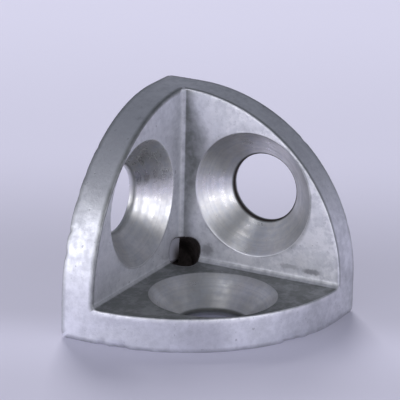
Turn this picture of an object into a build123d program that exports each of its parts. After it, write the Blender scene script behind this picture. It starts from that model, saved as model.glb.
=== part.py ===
from build123d import *
import os
from math import radians, sqrt, tan

# Three way corner connector: three square-set plates that close the ends of three
# quarter-round profiles. The mating faces lie on the planes X = 0, Y = 0 and Z = 0,
# and the profiles leave along -X, -Y and -Z.

# Plates
leg = 40.0                      # straight side of each mating face
plate = 6.5                     # thickness of each plate
rim_run = 0.5                   # straight run of the rim past the plate beside it
rim_centre = plate + rim_run    # centre of the quarter-round rim, from both straight sides
rim_radius = leg - rim_centre

# Screw hole in each plate
screw_hole = 13.0               # clears an M12 countersunk screw
sink_width = 24.0               # countersink, open to the inside
sink_angle = 90.0
rim_land = 0.5                  # flat left between the countersink and the rim
hole_offset = rim_centre + (rim_radius - rim_land - sink_width / 2) / sqrt(2)

# Blind hole in the inner corner, for the peg of a cover cap
peg_hole = 6.2
peg_depth = 3.0                 # full width below the inner corner point
peg_point = 118.0               # drill point at the bottom

# Rounded edges
outer_round = 1.2               # three long edges that meet at the outer corner
inner_round = 1.0               # three long edges that meet at the inner corner
rim_round = 0.3                 # curved edge between each rim and its inner face

mating_planes = (Plane.XY, Plane.YZ, Plane.ZX)


def long_edges(body, level):
    """Straight edges along a main axis that keep two coordinates at level."""
    kept = []
    for edge in body.edges().filter_by(GeomType.LINE):
        start, end = edge.position_at(0), edge.position_at(1)
        on_level = [abs(a - level) + abs(b - level) < 1e-3 for a, b in zip(start, end)]
        if sum(on_level) == 2 and edge.length > leg / 2:
            kept.append(edge)
    return kept


def inner_rim_edges(body):
    """Arcs where each rim meets its plate's inner face."""
    return [
        edge
        for edge in body.edges().filter_by(GeomType.CIRCLE)
        if abs(edge.radius - rim_radius) < 1e-3
        and any(abs(c - plate) < 1e-3 for c in edge.arc_center)
    ]


# Quarter-round outline, with its square corner at the origin
sides = Polyline((rim_centre, leg), (0, leg), (0, 0), (leg, 0), (leg, rim_centre))
curve = CenterArc((rim_centre, rim_centre), rim_radius, 0, 90)
outline = make_face(sides.edges() + curve.edges())

# One plate on each mating plane
body = sum((extrude(side * outline, plate) for side in mating_planes), Part())
body = fillet(long_edges(body, 0.0), outer_round)
body = fillet(long_edges(body, plate), inner_round)

# Countersunk screw holes, entered from the inside
screw_cut = Cylinder(screw_hole / 2, plate, align=(Align.CENTER, Align.CENTER, Align.MIN))
sink_depth = (sink_width - screw_hole) / 2 / tan(radians(sink_angle / 2))
sink_cut = Cone(
    screw_hole / 2,
    sink_width / 2,
    sink_depth,
    align=(Align.CENTER, Align.CENTER, Align.MAX),
)
screw_tool = screw_cut + Pos(0, 0, plate) * sink_cut
for side in mating_planes:
    body -= side * Pos(hole_offset, hole_offset) * screw_tool

# Peg hole, square to the diagonal of the corner
shoulder = plate * sqrt(3) - peg_depth
point_depth = peg_hole / 2 / tan(radians(peg_point / 2))
peg_tool = Pos(0, 0, shoulder) * Cylinder(
    peg_hole / 2, leg, align=(Align.CENTER, Align.CENTER, Align.MIN)
) + Pos(0, 0, shoulder) * Cone(
    0, peg_hole / 2, point_depth, align=(Align.CENTER, Align.CENTER, Align.MAX)
)
body -= Plane(origin=(0, 0, 0), z_dir=(1, 1, 1)) * peg_tool

# Rim edges
body = fillet(inner_rim_edges(body), rim_round)

os.makedirs("parts", exist_ok=True)
export_step(body, "parts/connector_body.step")
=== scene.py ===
from math import asin, atan2, cos, degrees, pi, radians, sin, sqrt

import bmesh
import bpy
from mathutils import Matrix, Vector, noise


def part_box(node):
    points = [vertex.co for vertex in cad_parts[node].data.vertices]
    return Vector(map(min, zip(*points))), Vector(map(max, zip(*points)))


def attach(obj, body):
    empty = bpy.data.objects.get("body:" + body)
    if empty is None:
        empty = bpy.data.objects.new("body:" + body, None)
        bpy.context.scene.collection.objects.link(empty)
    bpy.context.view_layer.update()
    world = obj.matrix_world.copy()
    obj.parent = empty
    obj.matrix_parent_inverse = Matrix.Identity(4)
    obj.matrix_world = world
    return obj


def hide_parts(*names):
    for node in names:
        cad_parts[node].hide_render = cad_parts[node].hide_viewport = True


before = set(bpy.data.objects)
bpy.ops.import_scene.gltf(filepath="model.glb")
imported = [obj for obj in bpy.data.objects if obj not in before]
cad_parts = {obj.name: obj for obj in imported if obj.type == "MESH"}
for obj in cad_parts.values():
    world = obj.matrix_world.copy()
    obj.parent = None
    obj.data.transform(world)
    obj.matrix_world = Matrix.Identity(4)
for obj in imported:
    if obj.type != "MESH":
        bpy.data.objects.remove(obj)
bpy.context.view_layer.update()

mm = 0.001
scene = bpy.context.scene
scene.view_settings.view_transform = "Standard"

# the cast corner is modelled in millimetres and scaled to metres at the end
corner = {
    "leg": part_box("connector_body")[1].x / mm,  # straight side of each mating face
    "plate": 6.5,  # thickness
    "rimCentre": 7.0,  # centre of the quarter-round rim, from both straight sides
    "holeOffset": 21.496,  # screw hole, from both straight sides
    "screwRadius": 6.5,
    "sinkRadius": 12.0,
    "landHeight": 1.0,  # straight wall left below the countersink
    "pegRadius": 3.1,  # blind hole along the diagonal
    "pegDepth": 3.0,  # from the inner corner's point to the hole's shoulder
    "pegPoint": 1.86,  # from the shoulder to the drill point
    "outerRound": 1.2,
    "innerRound": 1.0,
    # width and segments
    "bevels": {
        "innerRim": (0.35, 3),
        "outerRim": (0.2, 2),
        "sinkEdge": (0.14, 2),
        "screwEdge": (0.12, 2),
        "holeMouth": (0.25, 3),
    },
    # where the corner hole is only dished into the plate on XZ
    "dish": {
        "depth": 0.3,
        "start": 0.06,  # shares of the hole's wall, from its mouth to its shoulder
        "end": 0.6,
        "pull": 1.15,  # share of its radius that the wall is drawn in by there
        "drop": 4,  # further depths that it falls by there
    },
    "steps": {
        "mouth": 10,
        "run": 36,
        "rim": 64,
        "rimEnd": 6,  # of the rim's steps, those on each straight end of the mating face
        "round": 8,
        "faceCuts": 11,
        "wallCuts": 7,
        "coneCuts": 15,
        "pegCuts": 11,
    },
}
castSide, machinedSide, boreSide = 0, 1, 2  # material slots
marks = {name: number for number, name in enumerate(("plain", *corner["bevels"]))}  # on edges
same, weld, near = 1e-4, 1e-3, 0.01  # how close counts as the same place

diagonal = Vector((1, 1, 1)).normalized()
xAxis, zAxis = Vector((1, 0, 0)), Vector((0, 0, 1))
rimRadius = corner["leg"] - corner["rimCentre"]
shoulder = corner["plate"] * sqrt(3) - corner["pegDepth"]  # height along the diagonal


def cutRun(bm, first, last, steps):
    # a straight run of even edges between two vertices
    known = set(bm.edges)
    made = bmesh.ops.spin(bm, geom=[first], dvec=(last.co - first.co) / steps, axis=zAxis, steps=steps - 1)
    bm.edges.new((made["geom_last"][0], last))
    return [e for e in bm.edges if e not in known]


def spinPoint(bm, first, centre, axis, angle, steps):
    # an arc spun from a vertex; gives its last vertex and its edges
    known = set(bm.edges)
    made = bmesh.ops.spin(bm, geom=[first], cent=centre, axis=axis, angle=angle, steps=steps)
    return made["geom_last"][0], [e for e in bm.edges if e not in known]


def spinRun(bm, edges, centre, axis, angle, steps):
    # a strip spun from a run of edges; gives its new vertices
    known = set(bm.verts)
    geom = edges + list({v for e in edges for v in e.verts})
    bmesh.ops.spin(bm, geom=geom, cent=centre, axis=axis, angle=angle, steps=steps)
    return [v for v in bm.verts if v not in known]


def extrudeLoop(bm, edges, material):
    # a wall from a loop of edges; gives its far vertices and edges
    made = bmesh.ops.extrude_edge_only(bm, edges=edges)["geom"]
    for face in [g for g in made if isinstance(g, bmesh.types.BMFace)]:
        face.material_index = material
    verts = [g for g in made if isinstance(g, bmesh.types.BMVert)]
    fresh = set(verts)
    loop = [e for v in verts for e in v.link_edges if e.verts[0] in fresh and e.verts[1] in fresh]
    return verts, list(set(loop))


def castToCircle(verts, centre, radius, level):
    for v in verts:
        away = Vector((v.co.x - centre.x, v.co.y - centre.y, 0)).normalized()
        v.co = Vector((centre.x, centre.y, 0)) + away * radius + zAxis * level


def mouthAlong(y, z):
    # where a line along X enters the corner hole
    return (y + z) / 2 + sqrt((corner["pegRadius"] ** 2 - (y - z) ** 2 / 2) * 1.5)


def setMark(bm, edges, name):
    layer = bm.edges.layers.int["mark"]
    for e in edges:
        e[layer] = marks[name]


def endArc(bm, level, radius):
    # the edges of a spun strip's end at the plate's tip
    def onArc(v):
        away = sqrt((v.co.y - level) ** 2 + (v.co.z - level) ** 2)
        inside = max(v.co.y, v.co.z) < level + same
        return inside and v.co.x > corner["leg"] - near and abs(away - radius) < same
    return [e for e in bm.edges if all(onArc(v) for v in e.verts)]


def buildPlate(bm):
    c, steps = corner, corner["steps"]
    top, side = c["plate"], c["plate"] + c["innerRound"]
    hole = Vector((c["holeOffset"], c["holeOffset"], 0))
    rimMiddle = Vector((c["rimCentre"], c["rimCentre"], 0))

    # inner face: rim curve, mouth of the corner hole, and a run along each inner round
    lean = asin((side - c["rimCentre"]) / rimRadius)
    rimFirst = bm.verts.new(rimMiddle + Vector((rimRadius * cos(lean), side - c["rimCentre"], top)))
    rimLast, rimTop = spinPoint(bm, rimFirst, rimMiddle, zAxis, pi / 2 - 2 * lean, steps["rim"])
    mouthFirst = bm.verts.new((mouthAlong(side, top), side, top))
    across = mouthFirst.co - diagonal * mouthFirst.co.dot(diagonal)
    turn = across.angle(Vector((across.y, across.x, across.z)))
    mouthLast, mouth = spinPoint(bm, mouthFirst, (0, 0, 0), diagonal, turn, steps["mouth"])
    for v in {v for e in mouth for v in e.verts}:
        v.co += diagonal * (top - v.co.z) / diagonal.z
    runX = cutRun(bm, mouthFirst, rimFirst, steps["run"])
    runY = cutRun(bm, mouthLast, rimLast, steps["run"])

    # down the countersink and out of the screw hole
    face, loop = extrudeLoop(bm, rimTop + mouth + runX + runY, castSide)
    castToCircle(face, hole, c["sinkRadius"], top)
    setMark(bm, loop, "sinkEdge")
    cone, loop = extrudeLoop(bm, loop, machinedSide)
    castToCircle(cone, hole, c["screwRadius"], c["landHeight"])
    land, holeLoop = extrudeLoop(bm, loop, machinedSide)
    castToCircle(land, hole, c["screwRadius"], 0)

    # mating face, with straight ends on its curve
    low = c["outerRound"]
    tips = [bm.verts.new(p) for p in ((low, low, 0), (c["leg"], low, 0), (low, c["leg"], 0))]
    arcFirst = bm.verts.new((c["leg"], c["rimCentre"], 0))
    arcSteps = steps["rim"] - 2 * steps["rimEnd"]
    arcLast, arc = spinPoint(bm, arcFirst, rimMiddle, zAxis, pi / 2, arcSteps)
    ends = cutRun(bm, tips[1], arcFirst, steps["rimEnd"]) + cutRun(bm, tips[2], arcLast, steps["rimEnd"])
    rimLow = arc + ends
    runSteps = steps["run"] + steps["mouth"] // 2
    lowX = cutRun(bm, tips[0], tips[1], runSteps)
    lowY = cutRun(bm, tips[0], tips[2], runSteps)
    bmesh.ops.bridge_loops(bm, edges=rimLow + lowX + lowY + holeLoop)
    bmesh.ops.bridge_loops(bm, edges=rimTop + rimLow)

    # rounded inner and outer edges along X, and the tip between them
    for v in spinRun(bm, runX, (0, side, side), xAxis, -pi / 2, steps["round"]):
        if v.co.x < mouthFirst.co.x + same:
            v.co.x = mouthAlong(v.co.y, v.co.z)
    spinRun(bm, lowX, (0, low, low), xAxis, -pi / 2, steps["round"])
    innerArc = endArc(bm, side, c["innerRound"])
    outerArc = endArc(bm, low, low)
    bmesh.ops.bridge_loops(bm, edges=innerArc + outerArc)
    setMark(bm, rimTop + innerArc, "innerRim")
    setMark(bm, rimLow + outerArc, "outerRim")
    setMark(bm, holeLoop, "screwEdge")


def buildOuterPoint(bm):
    # ball corner where the three outer rounds meet
    low, steps = corner["outerRound"], corner["steps"]["round"]
    pole = bm.verts.new((low, low, 0))
    arc = spinPoint(bm, pole, (low, low, low), xAxis, -pi / 2, steps)[1]
    spinRun(bm, arc, (low, low, low), zAxis, -pi / 2, steps)


def buildPegHole(bm):
    # the three plates' mouths make one open loop, which goes down to a shoulder and a drill point
    mouth = [e for e in bm.edges if e.is_boundary]
    setMark(bm, mouth, "holeMouth")
    wall, loop = extrudeLoop(bm, mouth, boreSide)
    setMark(bm, loop, "plain")
    for v in wall:
        v.co += diagonal * (shoulder - v.co.dot(diagonal))
    point = extrudeLoop(bm, loop, boreSide)[0]
    bmesh.ops.pointmerge(bm, verts=point, merge_co=diagonal * (shoulder - corner["pegPoint"]))


def bevelEdges(bm):
    layer = bm.edges.layers.int["mark"]
    for name, (width, segments) in corner["bevels"].items():
        edges = [e for e in bm.edges if e[layer] == marks[name]]
        bmesh.ops.bevel(bm, geom=edges, offset=width, offset_type="OFFSET", segments=segments,
                        profile=0.5, affect="EDGES", material=-1, clamp_overlap=False)


def inPlate(point, turn):
    # the point as the plate on XY would have it, for each of the three plates
    return Vector((point[turn], point[(turn + 1) % 3], point[(turn + 2) % 3]))


def outPlate(point, turn):
    # back from the plate on XY to the given one
    return Vector((point[-turn % 3], point[(1 - turn) % 3], point[(2 - turn) % 3]))


def fromHole(p):
    # distance from the screw hole's axis, for a point in its plate
    return Vector((p.x - corner["holeOffset"], p.y - corner["holeOffset"])).length


def fromRim(p):
    # distance from the centre of the rim
    return Vector((p.x - corner["rimCentre"], p.y - corner["rimCentre"])).length


def splitDiagonal(point):
    # height along the diagonal, and the way out from it
    height = point.dot(diagonal)
    return height, point - diagonal * height


def vertsOf(bm, *sides):
    return {v for f in bm.faces if f.material_index in sides for v in f.verts}


def cutsFor(edge):
    # which cuts a long edge gets: across a face, up a rim, down a cone or down the corner hole
    c = corner
    low, high = sorted((splitDiagonal(v.co) for v in edge.verts), key=lambda pair: pair[0])
    inHole = max(low[1].length, high[1].length) < c["pegRadius"] + near
    if inHole and low[0] < shoulder + near and high[0] - low[0] > 1:
        return "pegCuts"
    sinkReach = c["sinkRadius"] + c["bevels"]["sinkEdge"][0] + 2 * near
    screwReach = c["screwRadius"] + c["bevels"]["screwEdge"][0] + 2 * near
    longRun = 4  # walls and cones drop by more than this, and cones close in by more too
    for turn in range(3):
        a, b = (inPlate(v.co, turn) for v in edge.verts)
        inmost, outmost = sorted((fromHole(a), fromHole(b)))
        flat = abs(a.z - b.z) < weld
        steep = abs(a.z - b.z) > longRun
        if flat and abs(a.z - c["plate"]) < weld and inmost < sinkReach < outmost - 4 * near:
            return "faceCuts"
        if flat and abs(a.z) < weld and inmost < screwReach < outmost - longRun / 2:
            return "faceCuts"
        if steep and outmost - inmost > longRun and outmost < sinkReach:
            return "coneCuts"
        onRim = min(fromRim(a), fromRim(b)) > rimRadius - 1.5
        if steep and onRim and edge.calc_length() < c["plate"] + 3:
            return "wallCuts"
    return None


def refine(bm):
    # even cuts across the long faces, fine enough for the unevenness, the marks and the knocks
    groups = {name: [] for name in ("faceCuts", "wallCuts", "coneCuts", "pegCuts")}
    for e in bm.edges:
        name = cutsFor(e)
        if name:
            groups[name].append(e)
    for name, edges in groups.items():
        print("refine", name, len(edges))
        bmesh.ops.subdivide_edges(bm, edges=edges, cuts=corner["steps"][name], use_grid_fill=True)


def dishPegHole(bm):
    # toward the plate on XZ the hole starts as a shallow dish, and drops only past the corner
    plate, dish = corner["plate"], corner["dish"]
    dished = set()
    for v in vertsOf(bm, boreSide):
        height, off = splitDiagonal(v.co)
        onWall = off.length >= corner["pegRadius"] - 5 * near
        if not onWall or off.y > min(off.x, off.z) - 5 * near:
            continue
        mouth = (plate - off.y) * sqrt(3)
        along = (mouth - height) / (mouth - shoulder)
        if along < dish["start"]:
            continue
        ramp = min(along / dish["end"], 1)
        off = off * (1 - dish["pull"] * ramp)
        level = (plate - off.y) * sqrt(3) - dish["depth"] * (sqrt(ramp) + dish["drop"] * ramp ** 3)
        if along > dish["end"]:
            level += (shoulder - level) * (along - dish["end"]) / (1 - dish["end"])
        else:
            dished.add(v)
        v.co = diagonal * level + off
    for f in bm.faces:
        if f.material_index == boreSide and sum(v in dished for v in f.verts) >= 2:
            f.material_index = castSide


def sortFaces(bm):
    # only the countersinks and the short walls below them are machined
    c = corner
    for f in bm.faces:
        if f.material_index == machinedSide:
            places = [inPlate(f.calc_center_median(), turn) for turn in range(3)]
            reach = c["sinkRadius"] + 5 * near
            if not any(0 < p.z < c["plate"] and fromHole(p) < reach for p in places):
                f.material_index = castSide


# wear, soil, painted shade and painted sheen on the casting, in millimetres and degrees; a tuple of three
# goes by plate: XY, YZ, XZ
ageAndPaintedLight = {
    # shallow unevenness of the cast skin
    "innerDepth": 0.10,
    "rimDepth": 0.07,
    "waves": 0.17,
    "ripples": 0.55,
    "rippleShare": 0.4,
    "middle": 0.5,  # of the depth, where the noise is zero
    "swing": 0.6,
    "margin": 0.3,  # nothing is uneven this close to a mating face, and marks overlap by as much
    "edge": 0.2,  # how far the marks of an edge reach to each side of it
    "fadeIn": 1.5,
    # knocks along the outer rim edges: angle round the rim, radius and depth
    "knocks": (
        [(63.8, 1.0, 0.40), (66.5, 1.1, 0.45), (69.4, 0.9, 0.30), (75.1, 0.8, 0.25), (48.0, 0.7, 0.18),
         (2.5, 1.1, 0.40), (6.5, 0.9, 0.35), (9.8, 1.2, 0.40), (16.5, 0.8, 0.25), (27.0, 0.7, 0.20)],
        [(48.0, 0.8, 0.15), (18.0, 0.7, 0.18)],
        [(56.2, 0.8, 0.30), (67.3, 1.1, 0.32), (75.0, 0.9, 0.35), (49.0, 0.7, 0.15), (38.0, 0.6, 0.12)],
    ),
    "knockLevel": 0.1,  # above the mating face
    "knockRise": 0.6,  # how much of the push goes up
    "knockShade": 0.85,
    # painted shade on the walls below the countersinks, and on each countersink by direction: its middle
    # direction, how far it goes to each side, and amount
    "landShade": (1.4, 2.0, 0.7),
    "coneShade": ([(45, 80, 0.42)], [(0, 80, 0.5), (140, 35, 0.3), (-127, 18, 0.3)], [(180, 70, 0.35)]),
    "coneShadeFade": 1.6,
    "coneShadeDown": (0.075, 0, 0),  # more of it for each millimetre down
    # edges of the countersinks: darker along the one on XY, and only a part of one is worn bright
    "lipDark": (0.4, 0, 0),
    "lipDarkWidth": 1.4,
    "lipWear": 0.55,
    "lipShort": 3,
    # edges of the rims: darker outer ones, and painted shade along the inner ones
    "edgeBand": 0.5,
    "outerEdgeDark": 0.55,
    "innerEdgeShade": 0.85,
    # the rounded inner edges, with painted shade in them, and the faces beside them
    "creaseRough": 1.7,
    "creaseShade": (0.4, 0.4, 0.25),
    "faceDark": 1,  # on the plate on XY
    # painted sheen on the inner faces of the plates on YZ and XZ
    "faceSheen": {1: (-0.8, 0.1), 2: (0.6, -0.0125)},  # at the origin, and change for each millimetre
    # painted shade beside the upright inner edge, where the plate on YZ mirrors the darker plate on XZ, which
    # is widest part of the way along Y
    "band": {"width": 2.2, "bulge": 5.5, "bulgeAt": 26, "bulgeReach": 11,
             "most": 1.35, "low": 0.35, "rise": 40},
    # painted shade on the foot at the end of Y
    "foot": {"soilAndShade": 0.35, "start": 35, "fadeIn": 4, "top": 15, "fadeOut": 8, "above": 0.25},
    "dishFloor": 8,  # the corner hole's mouth is higher than this along the diagonal
}


def clamp(value):
    return min(1, max(0, value))


def raiseSoilAndShade(v, tags, amount):
    v[tags["soilAndShade"]] = max(v[tags["soilAndShade"]], amount)


def wearSurface(bm):
    # shallow unevenness of the cast faces, never on the mating faces
    bm.normal_update()
    a = ageAndPaintedLight
    for v in vertsOf(bm, castSide) - vertsOf(bm, machinedSide, boreSide):
        lowest = min(v.co)
        if lowest < a["margin"]:
            continue
        onRim = lowest < corner["plate"] - 2 * a["edge"]
        deep = a["rimDepth"] if onRim else a["innerDepth"]
        wave = noise.noise(v.co * a["waves"]) + a["rippleShare"] * noise.noise(v.co * a["ripples"])
        fade = min(1, (lowest - a["margin"]) / a["fadeIn"])
        v.co -= v.normal * deep * fade * max(0, a["middle"] + a["swing"] * wave)


def knockRims(bm, tags):
    # knocks in the outer rim edges, with painted shade in them
    a = ageAndPaintedLight
    knocks = [(turn, *knock) for turn in range(3) for knock in a["knocks"][turn]]
    for turn, angle, reach, deep in knocks:
        x, y = cos(radians(angle)), sin(radians(angle))
        centre = Vector((corner["rimCentre"], corner["rimCentre"], a["knockLevel"]))
        place = outPlate(centre + rimRadius * Vector((x, y, 0)), turn)
        inward = outPlate(Vector((-x, -y, a["knockRise"])), turn).normalized()
        for v in bm.verts:
            away = (v.co - place).length / reach
            if away < 1:
                v.co += inward * deep * (1 - away ** 2) ** 2
                v[tags["wearAndSheen"]] = 0
                raiseSoilAndShade(v, tags, a["knockShade"] * (1 - away))


def coneShadeAround(turn, p):
    # painted shade on a countersink by direction from its axis
    angle = degrees(atan2(p.y - corner["holeOffset"], p.x - corner["holeOffset"]))
    amount = 0
    for middle, wide, most in ageAndPaintedLight["coneShade"][turn]:
        away = abs((angle - middle + 180) % 360 - 180)
        amount = max(amount, most * clamp(ageAndPaintedLight["coneShadeFade"] * max(0, 1 - away / wide)))
    return amount


def tagSink(v, p, turn, tags):
    # the countersink and the short wall below it, with painted shade on both
    c, a, reach = corner, ageAndPaintedLight, fromHole(p)
    if reach < c["sinkRadius"] + a["margin"] and a["margin"] < p.z < c["plate"] + near:
        v[tags["turning"]] = reach
        down = c["sinkRadius"] - reach
        if reach < c["screwRadius"] + a["edge"]:
            # painted shade on the wall below the countersink
            v[tags["soilAndShade"]] = a["landShade"][turn]
        else:
            # darker along the edge of the countersink on XY
            lip = a["lipDark"][turn] * max(0, 1 - down / a["lipDarkWidth"])
            # painted shade down the countersink and on parts of it by direction
            v[tags["soilAndShade"]] = a["coneShadeDown"][turn] * down + lip + coneShadeAround(turn, p)


def isInner(p):
    # on the plate's inner side, clear of the mating faces of the other two
    return min(p.x, p.y) > corner["plate"] - ageAndPaintedLight["margin"]


def tagEdges(v, p, turn, tags):
    # painted highlight and painted shade along the inner rim edges, darker outer rim edges, and the bright
    # part of one countersink's edge
    c, a = corner, ageAndPaintedLight
    below = c["plate"] - p.z
    onRim = fromRim(p) > rimRadius - a["edgeBand"]
    if onRim and isInner(p) and -5 * near < below < a["edgeBand"]:
        # painted shade along the inner rim edge on XZ, and on its rim side on YZ
        if turn == 2 or (turn == 1 and below > a["edge"]):
            v[tags["soilAndShade"]] = a["innerEdgeShade"]
        else:
            # painted highlight along the inner rim edge on XY and YZ
            v[tags["wearAndSheen"]] = 1
    elif onRim and 2 * near < p.z < a["margin"]:
        # darker along the outer rim edges, just above the mating faces
        v[tags["soilAndShade"]] = a["outerEdgeDark"]
    onLip = abs(fromHole(p) - c["sinkRadius"]) < a["edge"]
    if turn == 1 and onLip and p.x + p.y < 2 * c["holeOffset"] - a["lipShort"]:
        v[tags["wearAndSheen"]] = a["lipWear"]


def tagInnerFace(v, p, turn, tags):
    # the rounded inner edge along X of each plate, with painted shade in it, then the flat face beside it:
    # painted sheen on YZ and XZ, darker on XY, and painted shade by the upright inner edge
    c, a = corner, ageAndPaintedLight
    above, beside = p.z - c["plate"], p.y - c["plate"]
    edgeStart, edgeEnd = 2 * near, c["innerRound"] - 2 * near
    if edgeStart < above < edgeEnd and edgeStart < beside < edgeEnd:
        v[tags["inner"]] = a["creaseRough"]
        # painted shade in the rounded inner edge
        v[tags["soilAndShade"]] = a["creaseShade"][turn]
    onFace = abs(above) < a["edge"] and fromHole(p) > c["sinkRadius"]
    if onFace and fromRim(p) < rimRadius - a["margin"]:
        v[tags["inner"]] = 1
        # painted sheen, lighter to the right on YZ and lower down on XZ
        if turn in a["faceSheen"]:
            start, change = a["faceSheen"][turn]
            v[tags["wearAndSheen"]] = clamp(start + change * p.x)
        else:
            # darker on the flat inner face of the plate on XY
            raiseSoilAndShade(v, tags, a["faceDark"])
        if turn == 1 and p.x > c["plate"] + a["margin"]:
            raiseSoilAndShade(v, tags, bandShade(p))


def bandShade(p):
    # painted shade on the plate on YZ, beside the upright inner edge
    band = ageAndPaintedLight["band"]
    wide = band["width"] + band["bulge"] * max(0, 1 - abs(p.y - band["bulgeAt"]) / band["bulgeReach"])
    across = clamp(band["most"] - (p.x - corner["plate"]) / wide)
    return across * clamp(band["low"] + p.y / band["rise"])


def tagFoot(v, tags):
    # painted shade on the foot at the end of Y
    foot = ageAndPaintedLight["foot"]
    if v.co.y > foot["start"] and min(v.co) > foot["above"]:
        along = clamp((v.co.y - foot["start"]) / foot["fadeIn"])
        down = clamp((foot["top"] - v.co.z) / foot["fadeOut"])
        raiseSoilAndShade(v, tags, foot["soilAndShade"] * along * down)


def tagSurface(bm, tags):
    # values for the materials: distance from a hole's axis, wear with painted sheen, soil with painted shade,
    # and rougher inner faces;
    # on the cast skin, soil and shade from 1 to 3 goes on to a dull film and then to the painted shade of the
    # corner hole
    for v in bm.verts:
        for turn in range(3):
            p = inPlate(v.co, turn)
            tagSink(v, p, turn, tags)
            tagEdges(v, p, turn, tags)
            if isInner(p):
                tagInnerFace(v, p, turn, tags)
            if turn < 2 and fromRim(p) > rimRadius - ageAndPaintedLight["edgeBand"]:
                tagFoot(v, tags)
    # painted shade into the corner hole: full at its mouth, darker deeper down the dish
    for v in vertsOf(bm, castSide):
        height, off = splitDiagonal(v.co)
        if off.length < corner["pegRadius"] + 5 * near and height > ageAndPaintedLight["dishFloor"]:
            dished = off.y < min(off.x, off.z)
            v[tags["soilAndShade"]] = 3 - (off.length / corner["pegRadius"] if dished else 0)


def buildCorner():
    # one plate, turned twice about the diagonal, and what the three share
    bm = bmesh.new()
    bm.edges.layers.int.new("mark")
    buildPlate(bm)
    everything = bm.verts[:] + bm.edges[:] + bm.faces[:]
    bmesh.ops.spin(bm, geom=everything, cent=(0, 0, 0), axis=diagonal, angle=4 * pi / 3,
                   steps=2, use_duplicate=True)
    buildOuterPoint(bm)
    bmesh.ops.remove_doubles(bm, verts=bm.verts, dist=weld)
    buildPegHole(bm)
    bmesh.ops.recalc_face_normals(bm, faces=bm.faces)
    bevelEdges(bm)
    refine(bm)
    dishPegHole(bm)
    sortFaces(bm)
    tags = {name: bm.verts.layers.float.new(name) for name in ("turning", "wearAndSheen", "soilAndShade", "inner")}
    tagSurface(bm, tags)
    wearSurface(bm)
    knockRims(bm, tags)
    for v in bm.verts:
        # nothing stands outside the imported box
        v.co = Vector(min(max(value, 0), corner["leg"]) for value in v.co)
    bmesh.ops.recalc_face_normals(bm, faces=bm.faces)
    bad = [e for e in bm.edges if not e.is_manifold]
    print("corner", len(bm.verts), "verts", len(bm.faces), "faces", len(bad), "open edges",
          sum(1 for f in bm.faces if len(f.verts) > 4), "ngons", "volume", bm.calc_volume(signed=True))
    bmesh.ops.scale(bm, vec=(mm, mm, mm), verts=bm.verts)
    mesh = bpy.data.meshes.new("cornerCasting")
    bm.to_mesh(mesh)
    bm.free()
    mesh.shade_smooth()
    piece = bpy.data.objects.new("cornerCasting", mesh)
    scene.collection.objects.link(piece)
    return piece


cast = buildCorner()
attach(cast, "root")
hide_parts("connector_body")
print("corner built")

# metal finishes: colours, roughness on light and dark patches, and how strongly each effect shows
finish = {
    "castLight": (0.87, 0.88, 0.92),
    "castDark": (0.68, 0.69, 0.73),
    # a dark tone: for painted shade and for darker places
    "soiledAndShaded": (0.24, 0.25, 0.245),
    "dull": (0.50, 0.50, 0.56),
    "speck": (0.20, 0.20, 0.22),
    # a pale tone: for scratches and wear, and for painted highlight and painted sheen
    "wornAndSheen": (0.95, 0.95, 0.98),
    "cutLight": (0.88, 0.875, 0.87),
    "cutDark": (0.64, 0.66, 0.71),
    "stained": (0.62, 0.57, 0.48),
    # near black: painted shade in the corner hole and on the walls below the countersinks
    "boreShade": (0.085, 0.070, 0.066),
    "castRoughness": (0.40, 0.54),
    "cutRoughness": (0.23, 0.39),
    "boreRoughness": (0.7, 0.9),
    "innerRough": 0.14,
    "soilAndShadeRough": 0.25,
    "scratches": 0.5,
    "pits": 0.4,
    "dots": 0.25,
    "rings": 0.3,
    "staining": 0.3,
    # stains on the cast faces: place and reach in millimetres, and strength
    "stains": [
        ((7.0, 34.7, 9.1), (2.0, 2.2, 0.7), 0.6),
        ((7.0, 12.9, 9.5), (2.0, 1.6, 1.5), 0.5),
        ((7.0, 30.0, 9.3), (2.0, 2.6, 0.6), 0.3),
        ((21.0, 7.0, 38.6), (1.6, 6.5, 1.0), 0.5),
        ((34.3, 26.7, 3.5), (6.0, 6.0, 4.0), 0.25),
    ],
}


def fill(tree, n, values):
    # an input given a socket is linked to it, anything else is set on it
    for key, value in values.items():
        if isinstance(value, bpy.types.NodeSocket):
            tree.links.new(value, n.inputs[key])
        else:
            n.inputs[key].default_value = value
    return n


def put(tree, kind, values=None, **fields):
    # a new node, its fields set before its inputs
    n = tree.nodes.new("ShaderNode" + kind)
    for key, value in fields.items():
        setattr(n, key, value)
    return fill(tree, n, values or {})


def maths(tree, operation, a, b=0.5, c=0.5):
    return put(tree, "Math", {0: a, 1: b, 2: c}, operation=operation).outputs[0]


def scaled(tree, a, b):
    return maths(tree, "MULTIPLY", a, b)


def span(tree, value, low, high, toLow=0.0, toHigh=1.0):
    # a smooth change from one value to another, held at both ends
    values = {0: value, 1: low, 2: high, 3: toLow, 4: toHigh}
    return put(tree, "MapRange", values, interpolation_type="SMOOTHSTEP").outputs[0]


def blend(tree, amount, a, b, mode="MIX"):
    # a colour that goes from a to b
    a, b = ((*value, 1) if isinstance(value, tuple) else value for value in (a, b))
    return put(tree, "Mix", {0: amount, 6: a, 7: b}, data_type="RGBA", blend_type=mode).outputs[2]


def noiseAt(tree, position, scale, detail=2.0, roughness=0.5):
    values = {"Vector": position, "Scale": scale, "Detail": detail, "Roughness": roughness}
    return put(tree, "TexNoise", values).outputs[0]


def stirred(tree, position, scale, detail=2.0):
    # a position pushed about by noise
    push = put(tree, "TexNoise", {"Vector": position, "Scale": scale, "Detail": detail}).outputs[1]
    return put(tree, "VectorMath", {0: position, 1: push}, operation="ADD").outputs[0]


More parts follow.
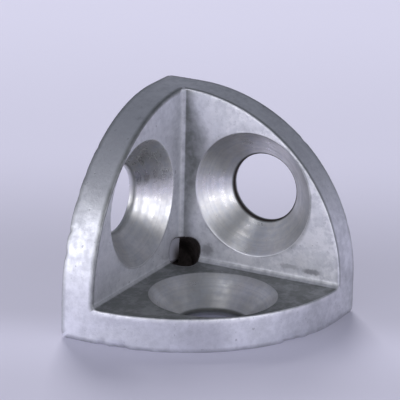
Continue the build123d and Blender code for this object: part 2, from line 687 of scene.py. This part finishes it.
def startGroup(name, inputs, output):
    # a group with a position, named inputs and one output between 0 and 1
    tree = bpy.data.node_groups.new(name, "ShaderNodeTree")
    sockets = [("INPUT", "Position", "Vector", None), *(("INPUT", *i) for i in inputs)]
    for direction, label, kind, default in sockets + [("OUTPUT", output, "Float", None)]:
        s = tree.interface.new_socket(label, in_out=direction, socket_type="NodeSocket" + kind)
        if default is not None:
            s.default_value = default
    return tree, tree.nodes.new("NodeGroupInput").outputs, tree.nodes.new("NodeGroupOutput").inputs[output]


def makeMottle():
    # cloudy patches over finer ones
    inputs = [("Broad", "Float", 0.15), ("Fine", "Float", 0.8), ("Share", "Float", 0.45)]
    tree, given, value = startGroup("mottle", inputs, "Value")
    broad = noiseAt(tree, given["Position"], given["Broad"], 3.0, 0.55)
    fine = noiseAt(tree, given["Position"], given["Fine"], 4.0, 0.62)
    mixed = put(tree, "Mix", {0: given["Share"], 2: broad, 3: fine}).outputs[0]
    tree.links.new(span(tree, mixed, 0.34, 0.66), value)
    return tree


def makeSpecks():
    # scattered small dark pits
    tree, given, mask = startGroup("specks", [("Spacing", "Float", 0.8), ("Size", "Float", 0.16)], "Mask")
    moved = stirred(tree, given["Position"], 2.2)
    cells = put(tree, "TexVoronoi", {"Vector": moved, "Scale": given["Spacing"], "Randomness": 1.0}).outputs
    chosen = put(tree, "SeparateColor", {0: cells["Color"]}).outputs[0]
    size = scaled(tree, given["Size"], span(tree, chosen, 0.55, 1.0))
    inside = maths(tree, "SUBTRACT", size, cells["Distance"])
    tree.links.new(span(tree, inside, -0.01, 0.06), mask)
    return tree


def makeScratches():
    # fine lines along one direction
    inputs = [("Turn", "Vector", (0.3, 0.9, 0.4)), ("Amount", "Float", 0.5)]
    tree, given, mask = startGroup("scratches", inputs, "Mask")
    moved = stirred(tree, given["Position"], 0.25)
    turned = put(tree, "Mapping", {0: moved, "Rotation": given["Turn"], "Scale": (0.16, 3.2, 3.2)}).outputs[0]
    thin = span(tree, noiseAt(tree, turned, 1.3, 3.0), 0.60, 0.68)
    tree.links.new(scaled(tree, thin, given["Amount"]), mask)
    return tree


def makeStain():
    # one ragged smear about a place
    inputs = [("Place", "Vector", None), ("Reach", "Vector", (1.0, 1.0, 1.0))]
    tree, given, mask = startGroup("stain", inputs, "Mask")
    moved = stirred(tree, given["Position"], 1.6, 3.0)
    away = put(tree, "VectorMath", {0: moved, 1: given["Place"]}, operation="SUBTRACT").outputs[0]
    shrunk = put(tree, "VectorMath", {0: away, 1: given["Reach"]}, operation="DIVIDE").outputs[0]
    reach = put(tree, "VectorMath", {0: shrunk}, operation="LENGTH").outputs["Value"]
    tree.links.new(span(tree, reach, 0.4, 1.1, 1.0, 0.0), mask)
    return tree


mottle, specks, scratches, stain = makeMottle(), makeSpecks(), makeScratches(), makeStain()


def startMetal(name):
    m = bpy.data.materials.new(name)
    m.use_nodes = True
    tree = m.node_tree
    coord = put(tree, "TexCoord").outputs["Object"]
    position = put(tree, "VectorMath", {0: coord, "Scale": 1 / mm}, operation="SCALE").outputs[0]  # in mm
    return m, tree, tree.nodes["Principled BSDF"], position


def useGroup(tree, group, position, values):
    n = put(tree, "Group", node_tree=group)
    return fill(tree, n, {"Position": position, **values}).outputs[0]


def readTag(tree, name):
    return put(tree, "Attribute", attribute_name=name).outputs["Fac"]


def makeCastSkin():
    f = finish
    m, tree, shader, position = startMetal("castSkin")
    cloud = useGroup(tree, mottle, position, {"Broad": 0.16, "Fine": 0.75, "Share": 0.5})
    patch = useGroup(tree, mottle, position, {"Broad": 0.3, "Fine": 1.1, "Share": 0.35})
    pit = useGroup(tree, specks, position, {"Spacing": 0.75, "Size": 0.2})
    dots = useGroup(tree, specks, position, {"Spacing": 2.0, "Size": 0.22})
    line = useGroup(tree, scratches, position, {"Amount": 0.5})
    wearAndSheen, soilAndShade, inner = (readTag(tree, n) for n in ("wearAndSheen", "soilAndShade", "inner"))
    # painted shade in creases, recesses, knocks and along edges, with other darker places, in patches
    dirtAndShade = scaled(tree, maths(tree, "MINIMUM", soilAndShade, 1.0), span(tree, patch, 0.0, 1.0, 0.82, 1.05))
    # painted highlight on the inner rim edges and painted sheen on the inner faces, with wear at one
    # countersink's edge
    edge = scaled(tree, wearAndSheen, span(tree, patch, 0.2, 0.7, 1.0, 0.25))

    tone = blend(tree, cloud, f["castLight"], f["castDark"])
    tone = blend(tree, scaled(tree, line, f["scratches"]), tone, f["wornAndSheen"])
    tone = blend(tree, edge, tone, f["wornAndSheen"])
    tone = blend(tree, dirtAndShade, tone, f["soiledAndShaded"])
    tone = blend(tree, scaled(tree, pit, f["pits"]), tone, f["speck"])
    tone = blend(tree, scaled(tree, dots, f["dots"]), tone, f["speck"])
    for place, reach, strength in f["stains"]:
        smear = useGroup(tree, stain, position, {"Place": place, "Reach": reach})
        tone = blend(tree, scaled(tree, smear, strength), tone, f["speck"])

    # soil and shade past 1 is a dull film, and past 2 it darkens into the painted shade of the corner hole
    dull = span(tree, soilAndShade, 1.0, 2.0)
    tone = blend(tree, dull, tone, f["dull"])
    tone = blend(tree, span(tree, soilAndShade, 2.1, 2.95), tone, f["boreShade"])
    rough = span(tree, cloud, 0.0, 1.0, *f["castRoughness"])
    rough = maths(tree, "MULTIPLY_ADD", inner, f["innerRough"], rough)

    grain = noiseAt(tree, position, 3.0, 5.0, 0.6)
    height = maths(tree, "MULTIPLY_ADD", noiseAt(tree, position, 0.7), 1.6, grain)
    height = maths(tree, "MULTIPLY_ADD", pit, -0.3, height)
    height = maths(tree, "MULTIPLY_ADD", line, -0.3, height)
    bump = put(tree, "Bump", {"Height": height, "Strength": 0.5, "Distance": 0.00006}).outputs[0]
    fill(tree, shader, {"Base Color": tone, "Roughness": rough, "Normal": bump,
                        "Metallic": span(tree, dull, 0.0, 1.0, 1.0, 0.2)})
    return m


def makeMachined():
    f = finish
    m, tree, shader, position = startMetal("machined")
    turning, wearAndSheen, soilAndShade = (readTag(tree, n) for n in ("turning", "wearAndSheen", "soilAndShade"))
    cloud = useGroup(tree, mottle, position, {"Broad": 0.2, "Fine": 0.9, "Share": 0.45})
    patch = useGroup(tree, mottle, position, {"Broad": 0.28, "Fine": 1.2, "Share": 0.4})

    # rings by distance from the hole's axis, not quite round
    along = maths(tree, "MULTIPLY_ADD", noiseAt(tree, position, 0.12, 1.0), 0.5, turning)
    rings = put(tree, "TexNoise", {"W": along, "Scale": 1.7, "Detail": 4.0, "Roughness": 0.65},
                noise_dimensions="1D").outputs[0]
    mixed = put(tree, "Mix", {0: f["rings"], 2: cloud, 3: span(tree, rings, 0.35, 0.65)}).outputs[0]

    tone = blend(tree, mixed, f["cutLight"], f["cutDark"])
    tone = blend(tree, scaled(tree, patch, f["staining"]), tone, f["stained"])
    # painted shade on the countersinks and the walls below them, and darker along one countersink's edge
    tone = blend(tree, maths(tree, "MINIMUM", soilAndShade, 1.0), tone, f["soiledAndShaded"])
    tone = blend(tree, wearAndSheen, tone, f["wornAndSheen"])
    # painted shade: the walls below the countersinks darken toward near black
    tone = blend(tree, span(tree, soilAndShade, 1.0, 2.0), tone, f["boreShade"])
    rough = span(tree, mixed, 0.0, 1.0, *f["cutRoughness"])
    rough = maths(tree, "MULTIPLY_ADD", soilAndShade, f["soilAndShadeRough"], rough)
    bump = put(tree, "Bump", {"Height": rings, "Strength": 0.11, "Distance": 0.00005}).outputs[0]
    fill(tree, shader, {"Base Color": tone, "Roughness": rough, "Normal": bump, "Metallic": 1.0})
    return m


def makeBore():
    m, tree, shader, position = startMetal("pegBore")
    cloud = useGroup(tree, mottle, position, {"Broad": 0.4, "Fine": 1.4})
    # painted shade: the hole's wall is near black, darker in patches
    tone = blend(tree, cloud, finish["boreShade"], tuple(0.5 * v for v in finish["boreShade"]))
    grain = noiseAt(tree, position, 2.5, 3.0)
    bump = put(tree, "Bump", {"Height": grain, "Strength": 0.4, "Distance": 0.00008}).outputs[0]
    rough = span(tree, cloud, 0.0, 1.0, *finish["boreRoughness"])
    fill(tree, shader, {"Base Color": tone, "Roughness": rough, "Normal": bump, "Specular IOR Level": 0.15})
    return m


for material in (makeCastSkin(), makeMachined(), makeBore()):
    cast.data.materials.append(material)
print("materials made")

# floor, lamps and camera, in metres
stage = {
    "reach": 3.0,
    "paper": (0.64, 0.63, 0.78),
    # distance beyond the piece, and level of the paper: painted shade, darkest under the piece, palest far
    # behind it
    "paintedShades": [(-0.06, 0.80), (-0.04, 0.86), (-0.02, 0.72), (0.0, 0.72), (0.08, 0.96), (0.20, 1.04)],
    "glow": 0.22,  # share of its tone the floor shows by itself
    "gloss": 1.9,  # how much more of it metal sees
    "paint": 0.94,  # share of its tone that the lamps light
    # painted shadow on the floor below the screw hole: the glow fades out between these radii
    "glowless": (0.008, 0.014),  # round the axis of the screw hole that looks down on the floor
    "horizon": (0.28, 0.285, 0.34),
    "zenith": (0.165, 0.175, 0.205),
    "skyChange": (0.10, 0.55),  # heights between which the one goes over to the other
    # degrees from the camera's side, degrees up and distance; "unseen" is not mirrored in metal
    "lamps": {
        "leftSoftbox": {"at": (-52, 14, 0.6), "size": (0.66, 0.34), "power": 1.28},
        "rightSoftbox": {"at": (43, 13, 0.6), "size": (0.30, 0.38), "power": 0.70},
        "overheadSoftbox": {"at": (-27, 63, 0.6), "size": (0.24, 0.24), "power": 0.11},
        "frontFill": {"at": (4, 30, 0.9), "size": (0.6, 0.4), "power": 0.5},
        "keyLamp": {"at": (-174, 41, 2.2), "size": (0.8, 0.8), "power": 37, "unseen": True},
    },
    "lampAim": (0.015, 0.015, 0.015),
    "cool": (0.95, 0.95, 1.0),
    "warm": (1.0, 0.99, 0.95),  # of the unseen lamp
    "camera": {
        "place": (0.49044, 0.26281, 0.20099),
        "aim": (0.013185, 0.014052, 0.021126),
        "roll": 1.18,
        "lens": 274.85,
        "sensor": 36,
    },
}
ahead, rightward = Vector((-0.887, -0.462, 0)), Vector((-0.462, 0.887, 0))  # on the floor, from the camera


def makeFloorPaper():
    m = bpy.data.materials.new("floorPaper")
    m.use_nodes = True
    tree, shader = m.node_tree, m.node_tree.nodes["Principled BSDF"]
    first, last = stage["paintedShades"][0][0], stage["paintedShades"][-1][0]
    coord = put(tree, "TexCoord").outputs["Object"]
    beyond = put(tree, "VectorMath", {0: coord, 1: ahead}, operation="DOT_PRODUCT").outputs["Value"]
    along = put(tree, "MapRange", {0: beyond, 1: first, 2: last}).outputs[0]
    ramp = put(tree, "ValToRGB", {0: along})
    ramp.color_ramp.interpolation = "EASE"
    stops = ramp.color_ramp.elements
    while len(stops) < len(stage["paintedShades"]):
        stops.new(0.5)
    for stop, (place, shade) in zip(stops, stage["paintedShades"]):
        stop.position = (place - first) / (last - first)
        stop.color = (*(shade * tone for tone in stage["paper"]), 1)
    tone = ramp.outputs[0]

    # the floor's own glow, for the camera and for metal, but not below the screw hole, where its absence
    # paints the shadow
    path = put(tree, "LightPath").outputs
    seen = maths(tree, "MAXIMUM", path["Is Camera Ray"], scaled(tree, path["Is Glossy Ray"], stage["gloss"]))
    seen = maths(tree, "MAXIMUM", seen, path["Is Transmission Ray"])
    axis = Vector((1, 1, 0)) * corner["holeOffset"] * mm
    away = put(tree, "VectorMath", {0: coord, 1: axis}, operation="DISTANCE").outputs["Value"]
    glow = scaled(tree, scaled(tree, seen, stage["glow"]), span(tree, away, *stage["glowless"]))
    paint = blend(tree, 1.0, tone, (stage["paint"],) * 3, "MULTIPLY")
    fill(tree, shader, {"Base Color": paint, "Roughness": 0.9, "Specular IOR Level": 0.1,
                        "Emission Color": tone, "Emission Strength": glow})
    return m


def layFloor():
    bm = bmesh.new()
    bmesh.ops.create_grid(bm, x_segments=1, y_segments=1, size=stage["reach"])
    mesh = bpy.data.meshes.new("floor")
    bm.to_mesh(mesh)
    bm.free()
    mesh.materials.append(makeFloorPaper())
    floor = bpy.data.objects.new("floor", mesh)
    scene.collection.objects.link(floor)
    return floor


def makeSky():
    world = bpy.data.worlds.new("studio")
    world.use_nodes = True
    sky = world.node_tree
    coord = put(sky, "TexCoord").outputs["Generated"]
    level = put(sky, "SeparateXYZ", {0: coord}).outputs["Z"]
    change = span(sky, level, *stage["skyChange"])
    fill(sky, sky.nodes["Background"], {"Color": blend(sky, change, stage["horizon"], stage["zenith"])})
    return world


def around(azimuth, elevation, distance):
    # a place by its angle from the camera's side and its height, seen from the piece
    a, e = radians(azimuth), radians(elevation)
    return ((rightward * sin(a) - ahead * cos(a)) * cos(e) + zAxis * sin(e)) * distance


def aimed(place, target):
    # a lamp or camera at a place, turned to a target
    turned = (target - place).to_track_quat("-Z", "Y").to_matrix().to_4x4()
    return Matrix.Translation(place) @ turned


def hangLamp(name, lamp):
    mirrored = not lamp.get("unseen", False)
    light = bpy.data.lights.new(name, "AREA")
    light.shape = "RECTANGLE"
    light.size, light.size_y = lamp["size"]
    light.energy = lamp["power"]
    light.color = stage["cool"] if mirrored else stage["warm"]
    holder = bpy.data.objects.new(name, light)
    scene.collection.objects.link(holder)
    holder.matrix_world = aimed(around(*lamp["at"]), Vector(stage["lampAim"]))
    holder.visible_camera = False
    holder.visible_glossy = mirrored


def placeCamera():
    c = stage["camera"]
    cam = bpy.data.cameras.new("camera")
    cam.lens, cam.sensor_width = c["lens"], c["sensor"]
    camera = bpy.data.objects.new("camera", cam)
    scene.collection.objects.link(camera)
    roll = Matrix.Rotation(radians(c["roll"]), 4, "Z")
    camera.matrix_world = aimed(Vector(c["place"]), Vector(c["aim"])) @ roll
    return camera


floor = layFloor()
scene.world = makeSky()
print("floor and sky made")
for name, lamp in stage["lamps"].items():
    hangLamp(name, lamp)
scene.camera = placeCamera()
print("lamps and camera set")
